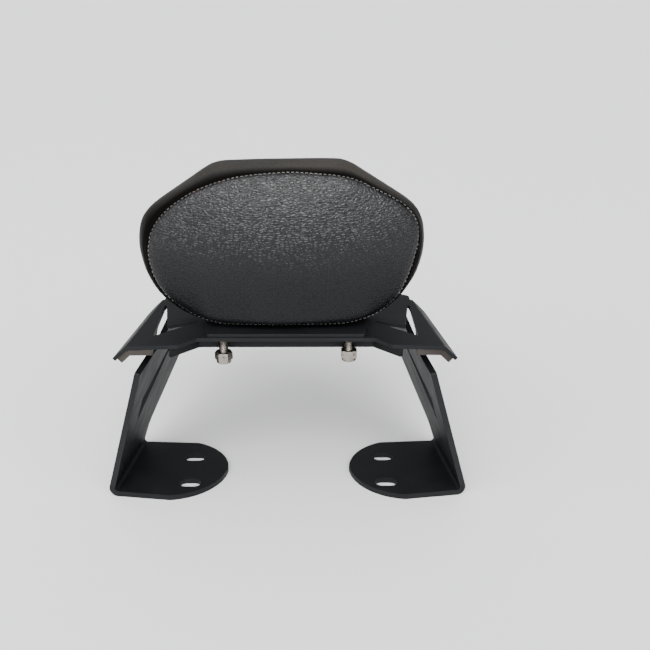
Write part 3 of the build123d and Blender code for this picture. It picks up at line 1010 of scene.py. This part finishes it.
@dataclass
class Stitching:
    """The row of stitches that holds the front panel to the band.

    Args:
        pitch: From one stitch to the next.
        length: Length of a stitch.
        thick: Thickness of the thread.
        inset: How far inside the seam the row runs.
        rusty: Angles round the cushion, in radians, between which some stitches are rust-brown.
        rust_every: One stitch in so many is brown there.
        lift: Share of the thread's thickness that its middle stands over the cover.
        wobble: How far a stitch may turn, in radians.
    """

    pitch: float = 3.6
    length: float = 2.3
    thick: float = 1.0
    inset: float = 1.4
    rusty: tuple[float, float] = (2.2, 2.75)
    rust_every: int = 6
    lift: float = 0.3
    wobble: float = 0.12

    def stitch(self) -> Object:
        """Models one stitch, a short thread with sunken ends, about the origin.

        Returns:
            The stitch.
        """
        deselect()
        bpy.ops.mesh.primitive_cylinder_add(vertices=6, radius=self.thick / 2 * MM, depth=self.length * MM)
        obj = named("stitch_master")
        bpy.ops.object.mode_set(mode="EDIT")
        bpy.ops.mesh.select_all(action="SELECT")
        bpy.ops.mesh.bevel(offset=self.thick * 0.28 * MM, segments=1, affect="EDGES")
        bpy.ops.object.mode_set(mode="OBJECT")
        return obj

    def sew(self, cushion: Cushion, cover: Object, wardrobe: Wardrobe) -> None:
        """Lays copies of the stitch along the seam, on the cover.

        Args:
            cushion: The cushion's sizes.
            cover: The finished cover.
            wardrobe: The materials.
        """
        line = cushion.seam_line()
        middle = np.array([cushion.middle, PLATE_TOP + cushion.centre_height]) * MM
        out = line - middle
        reach = np.linalg.norm(out, axis=1, keepdims=True)
        line = middle + out * (1 - self.inset * MM / reach)
        steps = np.linalg.norm(np.roll(line, -1, axis=0) - line, axis=1)
        travel = np.concatenate([[0.0], np.cumsum(steps)])
        count = int(travel[-1] / (self.pitch * MM))
        closed = np.vstack([line, line[:1]])
        at = (np.arange(count) + 0.5) * travel[-1] / count
        ahead = at + 0.4 * self.pitch * MM
        places = np.column_stack([np.interp(at, travel, closed[:, k]) for k in range(2)])
        targets = np.column_stack([np.interp(ahead, travel, closed[:, k]) for k in range(2)])
        master = self.stitch()
        verts, faces = points_of(master), [tuple(p.vertices) for p in master.data.polygons]
        grey: list[np.ndarray] = []
        rust: list[np.ndarray] = []
        for number, (place, target) in enumerate(zip(places, targets)):
            start = Vector((place[0], (WING_FRONT - 20) * MM, place[1]))
            hit, spot, normal, _ = cover.ray_cast(start, Vector((0, 1, 0)))
            if not hit:
                continue
            run = Vector((target[0] - place[0], 0, target[1] - place[1]))
            run = (run - normal * run.dot(normal)).normalized()
            side = normal.cross(run)
            turn = Matrix((side, normal, run)).transposed()
            turn = turn @ Matrix.Rotation(self.wobble * math.sin(number * 2.4), 3, "Y")
            centre = spot + normal * (self.thick * self.lift * MM)
            laid = verts @ np.array(turn).T + np.array(centre)
            angle = math.atan2(place[1] - middle[1], place[0] - middle[0])
            brown = self.rusty[0] < angle < self.rusty[1] and number % self.rust_every == 0
            (rust if brown else grey).append(laid)
        bpy.data.objects.remove(master)
        self.join("seam_stitches", grey, faces, wardrobe.get("thread"))
        self.join("seam_stitches_brown", rust, faces, wardrobe.get("rust_thread"))

    def join(
        self, name: str, laid: list[np.ndarray], faces: list[tuple[int, ...]], material: Material
    ) -> None:
        """Makes one mesh of many laid stitches.

        Args:
            name: Name of the piece.
            laid: The vertices of each stitch.
            faces: The faces of one stitch.
            material: The thread's material.
        """
        size = len(laid[0])
        mesh = bpy.data.meshes.new(name)
        all_faces = [tuple(v + size * n for v in face) for n in range(len(laid)) for face in faces]
        mesh.from_pydata(np.vstack(laid).tolist(), [], all_faces)
        obj = placed(name, mesh)
        dress(obj, material)
        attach(obj, BODY)
        LOG.info("laid %d stitches in %s", len(laid), name)


@dataclass
class ThreadedStud:
    """A stud with its real thread, in place of the plain rod.

    Args:
        side: The half of the rack that it is on.
        pitch: Pitch of the thread.
        depth: Depth of the thread.
        plain: Length of the plain shank under the plate.
        around: Faces round the rod.
        per_turn: Rings of points in one turn of the thread.
    """

    side: Side
    pitch: float = 1.25
    depth: float = 0.62
    plain: float = 4.2
    around: int = 40
    per_turn: int = 7

    def build(self, wardrobe: Wardrobe) -> None:
        """Turns a rod and cuts the thread into it.

        Args:
            wardrobe: The materials.
        """
        node = f"stud_{self.side.name.lower()}"
        low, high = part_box(node)
        middle = (low + high) / 2
        radius = (high.x - low.x) / 2
        length = high.z - low.z
        deselect()
        sizes = {"vertices": self.around, "radius": radius, "depth": length}
        bpy.ops.mesh.primitive_cylinder_add(**sizes, location=middle)
        obj = named(f"threaded_{node}")
        settle(obj)
        cuts = int(length / (self.pitch * MM) * self.per_turn)
        bpy.ops.object.mode_set(mode="EDIT")
        bpy.ops.mesh.select_mode(type="EDGE")
        bpy.ops.mesh.select_all(action="DESELECT")
        bpy.ops.object.mode_set(mode="OBJECT")
        for edge in obj.data.edges:
            a, b = (obj.data.vertices[i].co for i in edge.vertices)
            edge.select = abs(a.z - b.z) > 1e-6
        bpy.ops.object.mode_set(mode="EDIT")
        bpy.ops.mesh.subdivide(number_cuts=cuts)
        bpy.ops.object.mode_set(mode="OBJECT")
        places = points_of(obj)
        across = places[:, :2] - np.array(middle)[:2]
        reach = np.linalg.norm(across, axis=1)
        turn = np.arctan2(across[:, 1], across[:, 0]) / (2 * math.pi)
        phase = ((places[:, 2] / (self.pitch * MM)) - turn) % 1.0
        tooth = np.abs(phase - 0.5) * 2
        cut_in = np.clip(tooth * 1.25 - 0.12, 0, 1) * self.depth * MM
        from_end = (places[:, 2] - low.z) / MM
        fade = np.clip((high.z - places[:, 2]) / MM - self.plain, 0, 1)
        taper = np.clip(0.9 - from_end, 0, 0.9) * 0.9 * MM
        wanted = radius - cut_in * fade - np.maximum(0, taper - cut_in * 0.5)
        share = np.where(reach > radius * 0.5, wanted / np.maximum(reach, 1e-9), 1.0)
        places[:, :2] = np.array(middle)[:2] + across * share[:, None]
        move_points(obj, places)
        pick(obj)
        bpy.ops.object.shade_smooth_by_angle(angle=math.radians(35))
        dress(obj, wardrobe.get("steel"))
        # The top end takes the black coat: a painted shade, where it sits under the cushion's front edge.
        obj.data.materials.append(wardrobe.get("coat"))
        for face in obj.data.polygons:
            face.material_index = int(face.normal.z > 0.9 and face.center.z > high.z - 0.1 * MM)
        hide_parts(node)
        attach(obj, BODY)
        LOG.info("cut the thread of %s, %d rings", obj.name, cuts)


@dataclass
class WeldBead:
    """A rippled bead under the deck, in place of the plain wedge.

    Args:
        place: Front, middle or rear.
        side: The half of the rack that it is on.
        ripple: From one ripple to the next.
        height: Height of a ripple.
        voxel: Length of a face.
    """

    place: str
    side: Side
    ripple: float = 1.9
    height: float = 0.55
    voxel: float = 0.55

    def build(self, wardrobe: Wardrobe) -> None:
        """Copies the wedge, swells its free face and ripples it.

        Args:
            wardrobe: The materials.
        """
        where = f"{self.place}_{self.side.name.lower()}"
        node = f"weld_{where}"
        obj = placed(f"bead_{where}", bpy.data.objects[node].data.copy())
        close_up(obj, WELD)
        even_out(obj, self.voxel)
        places, out = points_of(obj), points_of(obj, "normal")
        low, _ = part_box(node)
        along = (places[:, 1] - low.y) / MM
        wave = np.abs(np.sin(along * math.pi / self.ripple + 0.6 * np.sin(along * 1.3)))
        free = np.clip(-out[:, 2] * 1.4, 0, 1)
        move_points(obj, places + out * (free * (wave - 0.35) * self.height * MM)[:, None])
        pick(obj)
        bpy.ops.object.shade_smooth()
        dress(obj, wardrobe.get("coat"))
        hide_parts(node)
        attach(obj, BODY)
        LOG.info("built %s", obj.name)


@dataclass
class PhotoCamera:
    """The camera, worked out from matching points on the rack's two halves.

    Args:
        place: Its place in millimetres, with Y from the wings' front edge and Z from the plate's top.
        pitch: Degrees that it looks down.
        yaw: Degrees that it is turned to its left.
        roll: Degrees that it leans.
        focal: Focal length in pixels of a frame that is as wide as frame_width.
        frame_width: Width of the photo in pixels.
        sensor: Width of the camera's sensor in millimetres.
    """

    place: tuple[float, float, float] = (16.66, -732.09, 323.02)
    pitch: float = 22.565
    yaw: float = -1.158
    roll: float = 0.377
    focal: float = 1000.0
    frame_width: float = 650.0
    sensor: float = 36.0

    def build(self) -> None:
        """Makes the camera and gives it to the scene."""
        pitch, yaw, roll = (math.radians(a) for a in (self.pitch, self.yaw, self.roll))
        turn = Matrix.Rotation(yaw, 3, "Z")
        ahead = turn @ Vector((0, math.cos(pitch), -math.sin(pitch)))
        up = turn @ Vector((0, math.sin(pitch), math.cos(pitch)))
        right = turn @ Vector((1, 0, 0))
        leaned_right = right * math.cos(roll) + up * math.sin(roll)
        leaned_up = up * math.cos(roll) - right * math.sin(roll)
        data = bpy.data.cameras.new("photo_camera")
        data.sensor_width = self.sensor
        data.lens = self.focal / self.frame_width * self.sensor
        data.clip_start = 0.02
        data.clip_end = 60.0
        camera = placed("photo_camera", data)
        basis = Matrix((leaned_right, leaned_up, -ahead)).transposed().to_4x4()
        spot = Vector((self.place[0], WING_FRONT + self.place[1], PLATE_TOP + self.place[2])) * MM
        camera.matrix_world = Matrix.Translation(spot) @ basis
        bpy.context.scene.camera = camera


@dataclass(frozen=True)
class Softbox:
    """A square soft light that looks at the rack.

    Args:
        name: Name of the light.
        place: Its place in metres.
        size: Length of its side in metres.
        watts: Its power.
    """

    name: str
    place: tuple[float, float, float]
    size: float
    watts: float

    def build(self) -> None:
        """Makes the light."""
        data = bpy.data.lights.new(self.name, "AREA")
        data.shape = "SQUARE"
        data.size = self.size
        data.energy = self.watts
        light = placed(self.name, data)
        light.location = self.place
        aim = Vector((0.0, 0.0, 0.15)) - Vector(self.place)
        light.rotation_euler = aim.to_track_quat("-Z", "Y").to_euler()


@dataclass(frozen=True)
class Skylight:
    """A wide far light, even over the whole floor.

    Args:
        name: Name of the light.
        height: Degrees that it stands above the floor.
        bearing: Degrees that it stands to the left of the camera's side.
        spread: Degrees across its disc.
        strength: Its power on a facing surface.
    """

    name: str
    height: float
    bearing: float
    spread: float
    strength: float

    def build(self) -> None:
        """Makes the light."""
        data = bpy.data.lights.new(self.name, "SUN")
        data.energy = self.strength
        data.angle = math.radians(self.spread)
        light = placed(self.name, data)
        up, left = math.radians(self.height), math.radians(self.bearing)
        towards = Vector((-math.sin(left) * math.cos(up), -math.cos(left) * math.cos(up), math.sin(up)))
        light.rotation_euler = (-towards).to_track_quat("-Z", "Y").to_euler()


@dataclass
class Studio:
    """Pale floor, soft lights and a pale surround.

    Args:
        floor_tone: Colour of the floor.
        floor_size: Length of its side in metres.
        surround: Colour of the surround.
        surround_strength: Its brightness.
        lights: The lights.
    """

    floor_tone: Colour = (0.93, 0.93, 0.93)
    floor_size: float = 40.0
    surround: Colour = (0.95, 0.97, 1.0)
    surround_strength: float = 0.45
    lights: tuple[Softbox | Skylight, ...] = (
        Skylight("front_key", 36.0, 3.0, 38.0, 3.3),
        Skylight("left_key", 42.0, 40.0, 40.0, 1.5),
        Skylight("right_key", 42.0, -34.0, 40.0, 1.5),
        Skylight("rear_key", 74.0, 170.0, 60.0, 0.9),
        Softbox("left_box", (-1.5, -0.5, 0.9), 0.8, 5.0),
    )

    def build(self) -> None:
        """Makes the floor, the lights and the surround."""
        deselect()
        bpy.ops.mesh.primitive_plane_add(size=self.floor_size)
        floor = named("studio_floor")
        material, graph, shader, place = new_material("floor_paint")
        shade = graph.noise(place, 2.0)
        darker = opaque(tuple(c * 0.985 for c in self.floor_tone))
        colour = graph.blend(shade.outputs[0], opaque(self.floor_tone), darker)
        graph.feed(shader, {"Base Color": colour, "Roughness": 0.9})
        dress(floor, material)
        for light in self.lights:
            light.build()
        world = bpy.data.worlds.new("studio_surround")
        world.use_nodes = True
        back = world.node_tree.nodes["Background"]
        back.inputs["Color"].default_value = opaque(self.surround)
        back.inputs["Strength"].default_value = self.surround_strength
        bpy.context.scene.world = world


def main() -> None:
    """Builds the studio, dresses the CAD nodes and makes the pieces that replace some of them."""
    logging.basicConfig(level=logging.INFO, format="%(name)s: %(message)s")
    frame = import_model()
    PhotoCamera().build()
    Studio().build()
    wardrobe = Wardrobe(Finishes())
    LOG.info("dressed %d CAD nodes", CadDressing(SLOTS).dress_all(frame, wardrobe))
    cushion = Cushion()
    cover = cushion.build(wardrobe)
    LOG.info("built %s with %d faces", cover.name, len(cover.data.polygons))
    Stitching().sew(cushion, cover, wardrobe)
    for side in Side:
        ThreadedStud(side).build(wardrobe)
        for place in ("front", "middle", "rear"):
            WeldBead(place, side).build(wardrobe)
    deselect()


if __name__ == "__main__":
    main()
